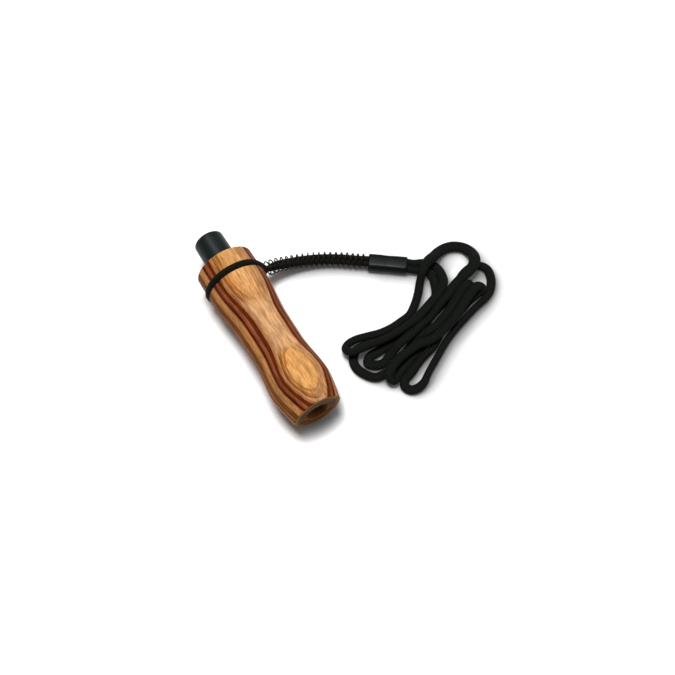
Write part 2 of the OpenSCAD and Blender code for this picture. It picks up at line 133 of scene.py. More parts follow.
def tube(name, line, radius, sides, body, softness=0, sizes=None, flat=False):
    """softness is how much the tube's size wanders, as a share, as it does in a limp cord. sizes, if
    given, holds half the width and half the height of each ring; on a flat tube the width lies level."""
    ahead = [(b - a).normalized() for a, b in zip(line, line[1:])]
    ahead = [ahead[0]] + [(a + b).normalized() for a, b in zip(ahead, ahead[1:])] + [ahead[-1]]
    level = Vector((0, 0, 1))
    side = ahead[0].cross(level)
    side = (side if side.length > 0.1 else Vector((1, 0, 0))).normalized()
    verts, travelled = [], [0]
    for i, place in enumerate(line):
        if i:
            travelled.append(travelled[-1] + (place - line[i - 1]).length)
        if flat:
            side = ahead[i].cross(level)
        side = (side - side.dot(ahead[i]) * ahead[i]).normalized()
        over = ahead[i].cross(side)
        wander = 1 + softness * noise.noise(Vector((travelled[-1] / wander_length, radius, 0)))
        half_width, half_height = sizes[i] if sizes else (radius, radius)
        for k in range(sides):
            turn = 2 * math.pi * k / sides
            verts.append((place + wander * (half_width * math.cos(turn) * side
                                            + half_height * math.sin(turn) * over)) * MM)
    faces = [[i * sides + k, i * sides + (k + 1) % sides,
              (i + 1) * sides + (k + 1) % sides, (i + 1) * sides + k]
             for i in range(len(line) - 1) for k in range(sides)]
    walls = len(faces)
    faces.append(list(range(sides))[::-1])
    faces.append([(len(line) - 1) * sides + k for k in range(sides)])
    mesh = bpy.data.meshes.new(name)
    mesh.from_pydata(verts, [], faces)
    cloth = mesh.uv_layers.new(name="girth_and_length")
    girth = 2 * math.pi * radius
    at = 0
    for f in range(walls):
        i, k = divmod(f, sides)
        for across, along in ((k, i), (k + 1, i), (k + 1, i + 1), (k, i + 1)):
            cloth.data[at].uv = (girth * across / sides, travelled[along])
            at += 1
    mesh.polygons.foreach_set("use_smooth", [f < walls for f in range(len(faces))])
    mesh.update()
    piece = bpy.data.objects.new(name, mesh)
    bpy.context.collection.objects.link(piece)
    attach(piece, body)
    return piece


# %% [markdown]
# ## The places that the lanyard's pieces share
# The sleeve lies flat on the table, turned 53 degrees from the call. The coil's middle line comes
# down from the barrel's side to the table and ends at the sleeve. The two legs of the noose run
# inside it, at first one over the other and soon side by side, and rest on its lower side.

# %% Sleeve, coil line and legs
sleeve_turn = math.radians(53)
sleeve_dir = Vector((math.cos(sleeve_turn), math.sin(sleeve_turn), 0))
sleeve_side = Vector((math.sin(sleeve_turn), -math.cos(sleeve_turn), 0))
sleeve_far_end = Vector((5.2, 87.2, 0))
sleeve_length, sleeve_height, sleeve_width = 21, 5.6, 9.1
sleeve_mid_z = sleeve_height / 2
noose_d, neck_d, wire_d = 2.8, 3.8, 0.7
leg_pitch, neck_pitch = 2.9, 3.9
coil_r = 3.54
coil_mid_z = 3.89
coil_step = 0.25


def in_sleeve(along, side, z):
    """A place counted from the sleeve's end at the coil, along it and across it."""
    return (sleeve_far_end + Vector((0, 0, z))
            + (along - sleeve_length) * sleeve_dir + side * sleeve_side)


noose_x = -27.5
coil_points = [(noose_x - 0.6, 18.95, 11.2), (-28.5, 25, 9.2), (-27.6, 31.2, 7.4), (-26.2, 37.4, 5.9),
               (-24.3, 43.4, 4.8), (-21.8, 49.2, 4.1), (-18.7, 54.6, coil_mid_z),
               (-15.1, 59.9, coil_mid_z), (-11.3, 64.9, coil_mid_z), in_sleeve(-1.1, 0, coil_mid_z)]
coil_line = smooth_line(coil_points, coil_step)
print("coil's length, in mm:", round(line_length(coil_line), 1))


def coil_frame(share):
    """Place, direction, side and upper side of the coil's middle line at a share of its length."""
    i = min(round(share * (len(coil_line) - 1)), len(coil_line) - 1)
    ahead = (coil_line[min(i + 2, len(coil_line) - 1)] - coil_line[max(i - 2, 0)]).normalized()
    side = ahead.cross(Vector((0, 0, 1))).normalized()
    return coil_line[i], ahead, side, side.cross(ahead)


leg_sag = 0.23
first_lean, settled_lean, settled_share = 66, 20, 0.12


def leg_lean(share):
    """How far the pair of legs leans out of level, in degrees, at a share of the coil's length."""
    if share < settled_share:
        return first_lean - (first_lean - settled_lean) * share / settled_share
    return settled_lean * (1 - (share - settled_share) / (1 - settled_share))


def leg_point(share, way):
    place, ahead, side, over = coil_frame(share)
    turn = math.radians(leg_lean(share))
    across = way * leg_pitch / 2
    return (place + (across * math.cos(turn) + leg_sag * math.sin(turn)) * side
            + (across * math.sin(turn) - leg_sag * math.cos(turn)) * over)


# %% [markdown]
# ## The noose cord
# One thin cord: from the sleeve up one leg, once round the barrel in its groove, and back down the
# other leg. Round the barrel it is a true circle, set 0.5 mm above the barrel's axis.

# %% Make the noose cord
noose_r, noose_z = 15.19, 16.64
noose_step = 0.5
leg_z = coil_mid_z - leg_sag
leg_steps = 20
leg_shares = [i / leg_steps for i in range(leg_steps)]
grip_middle, grip_end = 4.5, 8.9
grip_places = [0, grip_middle, grip_end]
upper_turn = [(noose_x + 0.2, 17.1, 16.4), (noose_x, 15.4, 20)]
lower_turn = [(noose_x, 11.7, 5.8), (noose_x + 0.2, 15.3, 8)]
loop_from, loop_sweep, loop_steps = 26, 274, 36
loop_turns = [math.radians(loop_from + loop_sweep * i / loop_steps) for i in range(loop_steps + 1)]
loop = [(noose_x, noose_r * math.cos(a), noose_z + noose_r * math.sin(a)) for a in loop_turns]
noose_points = ([in_sleeve(s, leg_pitch / 2, leg_z) for s in reversed(grip_places)]
                + [leg_point(s, 1) for s in reversed(leg_shares)] + upper_turn + loop + lower_turn
                + [leg_point(s, -1) for s in leg_shares]
                + [in_sleeve(s, -leg_pitch / 2, leg_z) for s in grip_places])
noose_line = smooth_line(noose_points, noose_step)

fuller_off_table, fuller_over_barrel = 0.18, 0.3
lift_zone, barrel_rise_zone, barrel_side_zone = (2.4, 3.9), (3, 6), (19, 16)


def share_between(value, zone):
    """0 at the zone's first value and before it, 1 at its last and beyond it, and even between them."""
    first, last_one = zone
    return min(1, max(0, (value - first) / (last_one - first)))


def noose_size(place):
    """The braid is loose, a little fatter than its core, and fattest where it goes over the barrel."""
    off_table = share_between(place.z, lift_zone)
    over_barrel = share_between(place.z, barrel_rise_zone) * share_between(place.y, barrel_side_zone)
    return noose_d / 2 + fuller_off_table * off_table + fuller_over_barrel * over_barrel


noose_sizes = [noose_size(p) for p in noose_line]
noose_cord = tube("noose_braid", noose_line, noose_d / 2, sides=14, body="barrel_and_lanyard",
                  softness=0.02, sizes=[(r, r) for r in noose_sizes])
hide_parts("noose_cord")

# %% [markdown]
# ## The coil
# Nineteen turns of black spring wire keep the lanyard from kinking. It is a helix wound round the
# coil's line. A screw modifier makes a straight coil, which would then need to be bent, so the
# wire's line is set out along the bent middle line instead. The first turns, at the barrel, are
# a little wider than the rest.

# %% Wind the coil
coil_turns, steps_a_turn = 19, 28
coil_steps = coil_turns * steps_a_turn
wide_turns_share, wide_turns_extra = 0.15, 0.12
wire_line = []
for i in range(coil_steps + 1):
    place, ahead, side, over = coil_frame(i / coil_steps)
    turn = 2 * math.pi * i / steps_a_turn
    wide = 1 + wide_turns_extra * max(0, 1 - i / (wide_turns_share * coil_steps))
    wire_line.append(place + wide * coil_r * (math.cos(turn) * side + math.sin(turn) * over))
tail_back, tail_up = 0.6, 0.4
place, ahead, side, over = coil_frame(0)
wire_line = [wire_line[0] - tail_back * ahead + tail_up * over] + wire_line
coil = tube("coil_wire", wire_line, wire_d / 2, sides=10, body="barrel_and_lanyard")
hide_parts("coil_spring")
print("wire in the coil, in mm:", round(line_length(wire_line)))

# %% [markdown]
# ## The neck cord
# A limp braided cord, some 0.9 m of it, lies in a heap of long folds, and both of its ends sit in
# the sleeve. Its folds are as tight as the soft braid lets them be. Cord on the table has its
# middle 2 mm up, and cord that lies on other cord 6.4 mm up.

# %% The neck cord's points
low = 2
up = 6.4
from_sleeve = [(8, 96, low), (13.5, 100.5, low), (21, 100, 2.4)]
folds = [
    # from the sleeve's outer strand down to the first fold
    (26, 96.5, 5), (29.5, 91, up), (31.5, 86, up), (34, 79, up), (36.5, 70, up), (37.5, 61, up),
    (37.5, 53, up), (36.5, 45, up), (35.5, 38.5, up), (34.5, 33.5, 6.2), (31, 32.5, 4.5),
    (28.5, 35.5, 2.8), (28, 40.5, low),
    # back along the side, over the sleeve's strands and round the wide arch
    (29.5, 46.5, low), (31.5, 54, low), (32, 60, low), (31.5, 66, low), (30.5, 72.5, low),
    (27, 78, low), (22, 83.5, low), (17, 88, 3.8), (13.5, 92, up), (10.5, 96.5, 6.8),
    (9, 101.5, 5.4), (7, 106.5, 3), (6.5, 111.5, low), (8, 116, low), (11.5, 120, low),
    (17, 121.5, 3.4), (21.5, 120, 6), (24.5, 117.5, up), (26.5, 112.5, up), (28, 106.5, up),
    (30, 100.5, up), (33, 95, up), (35, 89.5, up), (39, 80, up), (41, 71, up), (42.5, 63, up),
    (43.5, 57, 5.6), (45, 51.5, 3.2), (47, 46, low),
    # the small inner fold and back under the arch
    (46, 42, low), (43, 39, low), (40.5, 41.5, low), (40, 47, low), (40.5, 56, low),
    (41, 64, low), (40.5, 72, low), (38, 80, low), (35, 89.5, low), (33, 96, low),
    (29.5, 102, low), (26, 108, low), (24, 113.5, low), (24, 118.5, low), (26, 122, low),
    (29.5, 123.5, low), (35, 122, low), (39.5, 118.5, low), (43, 113, low),
    # the long outer run and the widest fold
    (45.5, 103.5, low), (48, 95.5, low), (50.5, 88, low), (54, 80, low), (58.5, 72, low),
    (64, 62.5, low), (67, 58, low), (68, 53.5, low), (67, 50, low), (64, 48.5, low),
    (61, 50, low), (59.5, 54, low), (57, 60, low), (55, 66, low), (52.5, 74, low),
    (48.5, 80.5, low), (45.5, 88, low), (43, 95.5, low), (40.5, 102.5, low), (39.5, 107.5, 2.2),
    # the upper fold, and down over the others
    (39, 111, 2.8), (38, 113.5, 5), (36.5, 111.5, up), (37.5, 107.5, up), (40.5, 101, up),
    (44, 94.5, up), (47, 87.5, up), (49, 80.5, up), (50, 73, up), (49, 66, up), (49.5, 59, up),
    (50.5, 53, up), (52.5, 47.5, up), (55.5, 44, 5.6), (58.5, 44.5, 4), (56.5, 49, 2.6),
    (54, 55.5, low), (52, 60.5, low), (50, 66.5, low), (48, 73, low), (43.5, 80.5, low),
    (40.5, 88, low), (38, 95.5, low), (35.5, 101.5, low), (35, 105.5, low),
    # the last fold, and down and round the open loop to the sleeve's inner strand
    (34, 108.5, 2.8), (32.5, 109, 5.2), (33.5, 104.5, up), (35.5, 100.5, up), (39, 94, up),
    (42, 87.5, up), (44.5, 80.5, up), (45, 74, 6), (45, 68, 3.4), (46.5, 62.5, low),
    (48.5, 57.5, low), (50.5, 52, low), (52, 47.5, low), (52.5, 42.5, low), (51.5, 38, low),
    (47.5, 34.5, low), (42, 32.5, low), (37, 33.5, low), (33.5, 37.5, low), (33.5, 44, low),
    (36, 52, low), (36.5, 60, low), (36, 68.5, low), (33, 80.5, low), (31, 87.5, low),
    (27.5, 91.5, low)]
to_sleeve = [(23, 94, low), (18.5, 95.5, low), (14, 95, low)]

# %% How flat the neck cord lies
# Widths in mm that the soft braid flattens to, each from a point of the folds to another. Points
# before the folds have numbers below 0.
flattened = [(-20, 3, 5.1), (4, 7, 4.2), (8, 12, 4.3), (13, 20, 4.5), (22, 33, 6.2), (34, 36, 4.3),
             (41, 45, 5.4), (49, 52, 4.2), (56, 59, 4.9), (60, 66, 3.8), (73, 76, 3.9), (79, 80, 4.4),
             (81, 84, 5.8), (92, 97, 5.4), (101, 103, 4.3), (104, 108, 5.8), (128, 150, 5.1)]
usual_width, least_width, least_height = 5, 3.7, 2.8
neighbour_reach, neighbour_overlap, same_level = 5.6, 0.4, 1.6
own_rings, smoothing_rings = 24, 6


def wanted_width(number):
    for first, last_one, width in flattened:
        if first <= number <= last_one:
            return width
    return usual_width


def flat_sizes(line, points, first_number):
    """Half the width and height of each ring: as flat as it lies, unless a neighbour leaves less
    room. A flattened ring keeps its area, down to the least height."""
    runs = [0]
    for a, b in zip(points, points[1:]):
        runs.append(runs[-1] + (Vector(b) - Vector(a)).length)
    tree = kdtree.KDTree(len(line))
    for i, place in enumerate(line):
        tree.insert(place, i)
    tree.balance()
    widths, k = [], 0
    for i, place in enumerate(line):
        run = runs[-1] * i / (len(line) - 1)
        while k < len(runs) - 2 and runs[k + 1] < run:
            k += 1
        width = wanted_width(k - first_number)
        for other, j, gap in tree.find_range(place, neighbour_reach):
            if abs(i - j) > own_rings and abs(other.z - place.z) < same_level:
                width = min(width, gap + neighbour_overlap)
        widths.append(max(width, least_width))
    sizes = []
    for i in range(len(widths)):
        near = widths[max(0, i - smoothing_rings):i + smoothing_rings + 1]
        width = sum(near) / len(near)
        sizes.append((width / 2, max(least_height, min(neck_d, neck_d * neck_d / width)) / 2))
    return sizes


# %% Make the neck cord
neck_step = 0.55
stub_places = [-grip_end, -grip_middle, 0, 3.8]


def neck_stub(way):
    """One end of the cord in the sleeve, and its first place outside, halfway down to the table."""
    heights = [sleeve_mid_z, sleeve_mid_z, sleeve_mid_z, (low + sleeve_mid_z) / 2]
    return [in_sleeve(sleeve_length + s, way * neck_pitch / 2, z) for s, z in zip(stub_places, heights)]


neck_points = neck_stub(-1) + from_sleeve + folds + to_sleeve + neck_stub(1)[::-1]
neck_line = smooth_line(neck_points, neck_step)
neck_sizes = flat_sizes(neck_line, neck_points, len(stub_places) + len(from_sleeve))
# a flattened ring keeps its underside where it was, so its middle comes down
neck_line = [p - Vector((0, 0, neck_d / 2 - half_height))
             for p, (half_width, half_height) in zip(neck_line, neck_sizes)]
neck_cord = tube("neck_braid", neck_line, neck_d / 2, sides=20, body="barrel_and_lanyard",
                 softness=0.03, sizes=neck_sizes, flat=True)
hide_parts("neck_cord_outer_end", "neck_cord_hank", "neck_cord_inner_end")

# %% [markdown]
# ## Turned pieces
# The barrel and the mouthpiece come off a lathe, so each is one outline turned about an axis. A
# spin of the outline would do it. Here a ring of points is drawn out along the piece instead and
# widened or narrowed at each station, because the noose groove sits a little off the axis, and a
# drawn ring can be moved there. The last station is the first one again, which closes the wall.

# %% Draw a ring out along its stations
AXIS_Z = 16.1
WELD = 0.002


def draw_out(move, grow, centre):
    """Extrudes the open ring by a move and resizes it about a centre."""
    bpy.ops.mesh.extrude_region_move(TRANSFORM_OT_translate={"value": move})
    bpy.ops.transform.resize(value=grow, center_override=centre)


def close_up(piece, crease, body):
    """Welds the last ring to the first one and smooths all but the edges sharper than the crease."""
    bpy.ops.mesh.select_all(action="SELECT")
    bpy.ops.mesh.remove_doubles(threshold=WELD * MM)
    bpy.ops.mesh.normals_make_consistent(inside=False)
    bpy.ops.object.mode_set(mode="OBJECT")
    bpy.ops.object.shade_smooth_by_angle(angle=math.radians(crease))
    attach(piece, body)
    print(piece.name, "has", len(piece.data.polygons), "faces")
    return piece


def drawn_ring(name, stations, sides, body):
    """Each station is a place along the call, a radius and the lift of its centre, in mm."""
    bpy.ops.object.select_all(action="DESELECT")
    x, r, lift = stations[0]
    bpy.ops.mesh.primitive_circle_add(vertices=sides, radius=r * MM, rotation=(0, math.pi / 2, 0),
                                      location=(x * MM, 0, (AXIS_Z + lift) * MM))
    piece = bpy.context.object
    piece.name = piece.data.name = name
    bpy.ops.object.transform_apply(location=True, rotation=True, scale=True)
    bpy.ops.object.mode_set(mode="EDIT")
    bpy.ops.mesh.select_all(action="SELECT")
    for (x0, r0, lift0), (x1, r1, lift1) in zip(stations, stations[1:]):
        draw_out(((x1 - x0) * MM, 0, (lift1 - lift0) * MM), (1, r1 / r0, r1 / r0),
                 (x1 * MM, 0, (AXIS_Z + lift1) * MM))
    return close_up(piece, crease=32, body=body)


def rounded(x, r, size, from_turn, to_turn, steps=6):
    """Stations of a rounded edge about a centre at x and r. A turn of 0 points out, 90 towards +X."""
    turns = [math.radians(from_turn + (to_turn - from_turn) * k / steps) for k in range(steps + 1)]
    return [(x + size * math.sin(t), r + size * math.cos(t), 0) for t in turns]


# %% [markdown]
# ## The barrel
# The outline has a shoulder, a waist and a bell that closes in again to the flat end. Between them
# it eases in and out like a cosine, which gives a hand-turned line without flats or corners. The
# groove's floor is round and just wider than the braid where it is fattest, so that it beds there.

# %% The barrel's outline
rim_x, barrel_length, barrel_r = -39, 96.5, 16.1
landmark_shares = (0.175, 0.445, 0.59, 0.83)
shoulder, waist_from, waist_to, bell = (share * barrel_length for share in landmark_shares)
rim_taper, waist_depth, bell_taper, bell_power = 0.3, 2, 3, 1.35


def eased(a, b, t):
    return a + (b - a) * (1 - math.cos(math.pi * t)) / 2


def outline_r(s):
    """Outer radius at a distance from the mouthpiece end."""
    if s < shoulder:
        return barrel_r - eased(rim_taper, 0, s / shoulder)
    if s < waist_from:
        return barrel_r - eased(0, waist_depth, (s - shoulder) / (waist_from - shoulder))
    if s < waist_to:
        return barrel_r - waist_depth
    if s < bell:
        return barrel_r - eased(waist_depth, 0, (s - waist_to) / (bell - waist_to))
    return barrel_r - bell_taper * ((s - bell) / (barrel_length - bell)) ** bell_power


# %% Turn the barrel
edge, outline_step = 0.8, 0.9
groove_half, groove_wall, groove_lip, clear = 1.92, 0.2, 0.15, 0.4
groove_at, groove_lift = noose_x - rim_x, noose_z - AXIS_Z
outside = [edge + outline_step * k for k in range(int(barrel_length / outline_step))]
before = [s for s in outside if s < groove_at - groove_half - clear]
after = [s for s in outside if groove_at + groove_half + clear < s < barrel_length - edge - clear]
groove_start, groove_end = groove_at - groove_half - groove_lip, groove_at + groove_half + groove_lip
groove = [(noose_x - groove_half, noose_r + groove_wall, groove_lift)]
groove += [(x, r, groove_lift)
           for x, r, lift in rounded(noose_x, noose_r, groove_half, 270, 90, steps=10)]
groove += [(noose_x + groove_half, noose_r + groove_wall, groove_lift)]
last = barrel_length - edge
bore_r, bore_round, bore_rings = 6.35, 0.6, (93.5, 60)
socket_r, socket_end, socket_step, socket_ring, socket_lip = 8.5, 27.1, 0.2, 12, 0.3
bell_face_r, rim_face_r = 9.5, 12


def on_barrel(s, r):
    return rim_x + s, r, 0


barrel_stations = (
    rounded(rim_x + edge, outline_r(edge) - edge, edge, -90, 0)
    + [on_barrel(s, outline_r(s)) for s in before[1:] + [groove_start]]
    + groove
    + [on_barrel(s, outline_r(s)) for s in [groove_end] + after]
    + rounded(rim_x + last, outline_r(last) - edge, edge, 0, 90)
    + [on_barrel(barrel_length, bell_face_r), on_barrel(barrel_length, bore_r + bore_round)]
    + rounded(rim_x + barrel_length - bore_round, bore_r + bore_round, bore_round, 90, 180, steps=4)[1:]
    + [on_barrel(s, bore_r) for s in bore_rings]
    + [on_barrel(socket_end + socket_step, bore_r), on_barrel(socket_end, bore_r + socket_step),
       on_barrel(socket_end, socket_r), on_barrel(socket_ring, socket_r),
       on_barrel(socket_lip, socket_r), on_barrel(0, socket_r + socket_lip),
       on_barrel(0, rim_face_r), on_barrel(0, outline_r(edge) - edge)])
barrel = drawn_ring("turned_barrel", barrel_stations, sides=160, body="barrel_and_lanyard")
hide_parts("barrel")

# %% [markdown]
# ## The mouthpiece
# A black tube with a well rounded tip. Its plug, which only shows when it is pulled out, has two
# grooves for the sealing rings and a wide chamber for the reed.

# %% Turn the mouthpiece
tip_x, lip_length, plug_end = -57.5, 18.5, 45.5
lip_r, plug_r, lip_round = 8.2, 8.4, 2
lip_shares = (0.3, 0.5, 0.65, 0.8, 0.93, 1)
seal_floor, seal_half = 6.925, 0.85
front_ring, front_seal, middle_ring, rear_seal = 21, 23.5, 32, 40.5
end_long, end_deep, end_face_r = 0.8, 0.4, 6.9
chamber_r, chamber_ring, chamber_start = 5.75, 30, 9
air_r, air_ring, air_lip, air_lip_depth = 3.6, 4, 0.4, 0.35


def on_mouthpiece(s, r):
    return tip_x + s, r, 0


def lip_station(share):
    """Behind its rounded tip the lip widens evenly to the plug."""
    widened = (lip_length * share - lip_round) / (lip_length - lip_round)
    return on_mouthpiece(lip_length * share, lip_r + (plug_r - lip_r) * widened)


def seal_groove(at):
    return [on_mouthpiece(at - seal_half, plug_r), on_mouthpiece(at - seal_half, seal_floor),
            on_mouthpiece(at + seal_half, seal_floor), on_mouthpiece(at + seal_half, plug_r)]


mouthpiece_stations = (
    rounded(tip_x + lip_round, lip_r - lip_round, lip_round, -90, 0, steps=12)
    + [lip_station(share) for share in lip_shares]
    + [on_mouthpiece(front_ring, plug_r)] + seal_groove(front_seal)
    + [on_mouthpiece(middle_ring, plug_r)] + seal_groove(rear_seal)
    + [on_mouthpiece(plug_end - end_long, plug_r), on_mouthpiece(plug_end, plug_r - end_deep),
       on_mouthpiece(plug_end, end_face_r), on_mouthpiece(plug_end, chamber_r),
       on_mouthpiece(chamber_ring, chamber_r), on_mouthpiece(chamber_start, chamber_r),
       on_mouthpiece(chamber_start, air_r), on_mouthpiece(air_ring, air_r),
       on_mouthpiece(air_lip, air_r), on_mouthpiece(0, air_r + air_lip_depth),
       on_mouthpiece(0, lip_r - lip_round)])
mouthpiece = drawn_ring("turned_mouthpiece", mouthpiece_stations, sides=128, body="insert")
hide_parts("mouthpiece")

# %% [markdown]
# ## The sleeve
# A piece of heat-shrink tube over both cords' ends. Its section is an oval: two half rounds with
# flats between them. The oval is drawn out along the sleeve, its ends and its middle are drawn in
# a little, and it turns back inside, so that both ends are open.

# %% Draw the sleeve
def oval(half_width, half_height, sides):
    """Points of an oval across the sleeve, in mm from its middle."""
    flat = half_width - half_height
    turns = [2 * math.pi * (k + 0.5) / sides for k in range(sides)]
    return [(half_height * math.cos(t) + math.copysign(flat, math.cos(t)), half_height * math.sin(t))
            for t in turns]


def drawn_oval(name, stations, sides, body):
    """Each station is a place along the sleeve and how far its oval lies inside the outside."""
    bpy.ops.object.select_all(action="DESELECT")
    bpy.ops.mesh.primitive_circle_add(vertices=sides, radius=MM)
    piece = bpy.context.object
    piece.name = piece.data.name = name
    at, inset = stations[0]
    first_oval = oval(sleeve_width / 2 - inset, sleeve_mid_z - inset, sides)
    for vert, (across, rise) in zip(piece.data.vertices, first_oval):
        vert.co = in_sleeve(at, across, sleeve_mid_z + rise) * MM
    bpy.ops.object.mode_set(mode="EDIT")
    bpy.ops.mesh.select_all(action="SELECT")
    for (at0, inset0), (at1, inset1) in zip(stations, stations[1:]):
        grow = (sleeve_mid_z - inset1) / (sleeve_mid_z - inset0)
        draw_out((at1 - at0) * sleeve_dir * MM, (grow, grow, grow), in_sleeve(at1, 0, sleeve_mid_z) * MM)
    return close_up(piece, crease=40, body=body)


drawn_in_end = [(0, 0.45), (0.1, 0.2), (0.4, 0.02), (1, 0)]
waisted_middle = [(7, 0), (9, 0.08), (11, 0.1), (13, 0.04), (15, 0)]
inner_wall = [(20.8, 0.5), (16, 0.55), (10, 0.6), (4, 0.55), (0.2, 0.5)]
far_end = [(sleeve_length - at, inset) for at, inset in reversed(drawn_in_end)]
sleeve_stations = drawn_in_end + waisted_middle + far_end + inner_wall + drawn_in_end[:1]
sleeve = drawn_oval("shrink_sleeve", sleeve_stations, sides=48, body="barrel_and_lanyard")
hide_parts("sleeve")

# %% [markdown]
# ## Materials: colours and nodes
# Colours are written as they look on a screen, as hex values, and turned to the linear values that
# the shader wants. A material is a chain of nodes. It could be wired in the node editor, but in
# code one function adds any node with its inputs and settings. Where a node is given as an input,
# its first output is linked. A pattern's size is given in mm and turned to the scale it needs.

# %% Helpers for materials
def linear(hex_colour):
    values = [int(hex_colour[i:i + 2], 16) / 255 for i in (0, 2, 4)]
    return [v / 12.92 if v <= 0.04045 else ((v + 0.055) / 1.055) ** 2.4 for v in values] + [1]


def scale_for(*sizes):
    """The scale that gives a pattern cells of these sizes in mm, one for each axis."""
    return [1 / (size * MM) for size in sizes]


def new_material(name):
    material = bpy.data.materials.new(name)
    material.use_nodes = True
    return material, material.node_tree.nodes["Principled BSDF"]


def feed(material, node, inputs):
    """Links or sets a node's inputs. A node among them stands for its first output."""
    for key, value in inputs.items():
        if isinstance(value, bpy.types.Node):
            value = value.outputs[0]
        if isinstance(value, bpy.types.NodeSocket):
            material.node_tree.links.new(value, node.inputs[key])
        else:
            node.inputs[key].default_value = value


def add(material, kind, inputs=None, **settings):
    node = material.node_tree.nodes.new("ShaderNode" + kind)
    for key, value in settings.items():
        setattr(node, key, value)
    feed(material, node, inputs or {})
    return node


def wear(piece, material):
    piece.data.materials.clear()
    piece.data.materials.append(material)
    print(piece.name, "wears", material.name)


# %% [markdown]
# ## Laminated wood
# Birch veneers, most of them 0.3 to 2 mm thick, are dyed, soaked with resin and pressed into a
# block. When the block is turned, each veneer shows as a contour line: long stripes along the
# waist and nested ovals on the bell. So the colour depends only on the depth of a place in the
# stack, measured square to the veneers, and a ramp holds the stack from bottom to top. The block
# was not quite in line with the lathe, so the depth drifts along the barrel, and the veneers lie
# a little closer together towards the bell. Noise bends the layers, and noise that is stretched
# along the barrel draws the grain. Birch's fibres are too fine to show in a picture, so they are
# drawn about 4 mm long and 0.6 mm wide.

# %% Laminated wood: the veneers
wood, wood_shader = new_material("laminated dyed birch, turned and lacquered")
# painted shade: the deeper veneers, which show on the near, lower side, are set darker than they are
veneers = [
    (-17, "8a4a22"), (-14.2, "b06a30"), (-12.4, "4a1a08"), (-10.7, "b67a44"), (-9, "8a4a1e"),
    (-7.2, "4a1a08"), (-5.4, "9a5c2a"), (-3.7, "b87c46"), (-1.9, "571f06"), (-0.2, "9c5c2c"),
    (1.5, "6e4018"), (5.3, "a56f3d"), (7, "ab7546"), (8.4, "8e5a35"), (8.85, "4e1802"),
    (9.95, "744029"), (10.6, "804a30"), (11.25, "5a2203"), (12.45, "94603a"), (12.9, "a3744c"),
    (13.45, "743c0e"), (13.75, "8e5826"), (14.15, "b0763e"), (14.45, "96602c"), (14.78, "bc8248"),
    (15.2, "c0884e"), (15.6, "cc9458")]
stack_low, stack_high = -17, 17
stack_lean = math.radians(81.7)
stack_up = (0, math.cos(stack_lean), math.sin(stack_lean))
drift, level_at = 0.011, 60
narrowing, true_at, true_depth = 0.0025, 50, 9.5
bend_depth, fray_depth = 0.5, 0.3

# %% Laminated wood: how deep a place lies in the stack
wood_place = add(wood, "TexCoord").outputs["Object"]
from_axis = add(wood, "VectorMath", {0: wood_place, 1: (rim_x * MM, 0, AXIS_Z * MM)},
                operation="SUBTRACT")
in_mm = add(wood, "VectorMath", {0: from_axis, "Scale": 1 / MM}, operation="SCALE")
depth = add(wood, "VectorMath", {0: in_mm, 1: stack_up}, operation="DOT_PRODUCT").outputs["Value"]
directions = add(wood, "SeparateXYZ", {0: in_mm})
along, across = directions.outputs["X"], directions.outputs["Y"]
drift_here = add(wood, "Math", {0: along, 1: -drift, 2: level_at * drift - true_depth},
                 operation="MULTIPLY_ADD")
drifted = add(wood, "Math", {0: depth, 1: drift_here}, operation="ADD")
narrowed = add(wood, "Math", {0: along, 1: narrowing, 2: 1 - true_at * narrowing},
               operation="MULTIPLY_ADD")
layer = add(wood, "Math", {0: drifted, 1: narrowed, 2: true_depth}, operation="MULTIPLY_ADD")

# %% Laminated wood: bent and frayed layers
bend_place = add(wood, "Mapping", {"Vector": wood_place, "Scale": scale_for(40, 11.11, 11.11)})
bend = add(wood, "TexNoise", {"Vector": bend_place, "Scale": 1})
grain_place = add(wood, "Mapping", {"Vector": wood_place, "Scale": scale_for(9.09, 1.333, 1.333)})
grain = add(wood, "TexNoise", {"Vector": grain_place, "Scale": 1, "Detail": 3, "Roughness": 0.6})
fibre_place = add(wood, "Mapping", {"Vector": wood_place, "Scale": scale_for(3.846, 0.588, 0.588)})
fibre = add(wood, "TexNoise", {"Vector": fibre_place, "Scale": 1})
bend_here = add(wood, "Math", {0: bend, 1: 0.5}, operation="SUBTRACT")
bent = add(wood, "Math", {0: bend_here, 1: bend_depth, 2: layer}, operation="MULTIPLY_ADD")
fray_here = add(wood, "Math", {0: grain, 1: 0.5}, operation="SUBTRACT")
frayed = add(wood, "Math", {0: fray_here, 1: fray_depth, 2: bent}, operation="MULTIPLY_ADD")

# %% Laminated wood: the ramp
stack_share = add(wood, "MapRange", {"Value": frayed, "From Min": stack_low, "From Max": stack_high})
stack_ramp = add(wood, "ValToRGB", {"Fac": stack_share})
stack_ramp.color_ramp.interpolation = "CONSTANT"
stops = stack_ramp.color_ramp.elements
for i, (start, colour) in enumerate(veneers):
    spot = (start - stack_low) / (stack_high - stack_low)
    stop = stops[0] if i == 0 else stops.new(spot)
    stop.position = spot
    stop.color = linear(colour)
stops.remove(stops[-1])
print("veneers in the stack:", len(veneers))
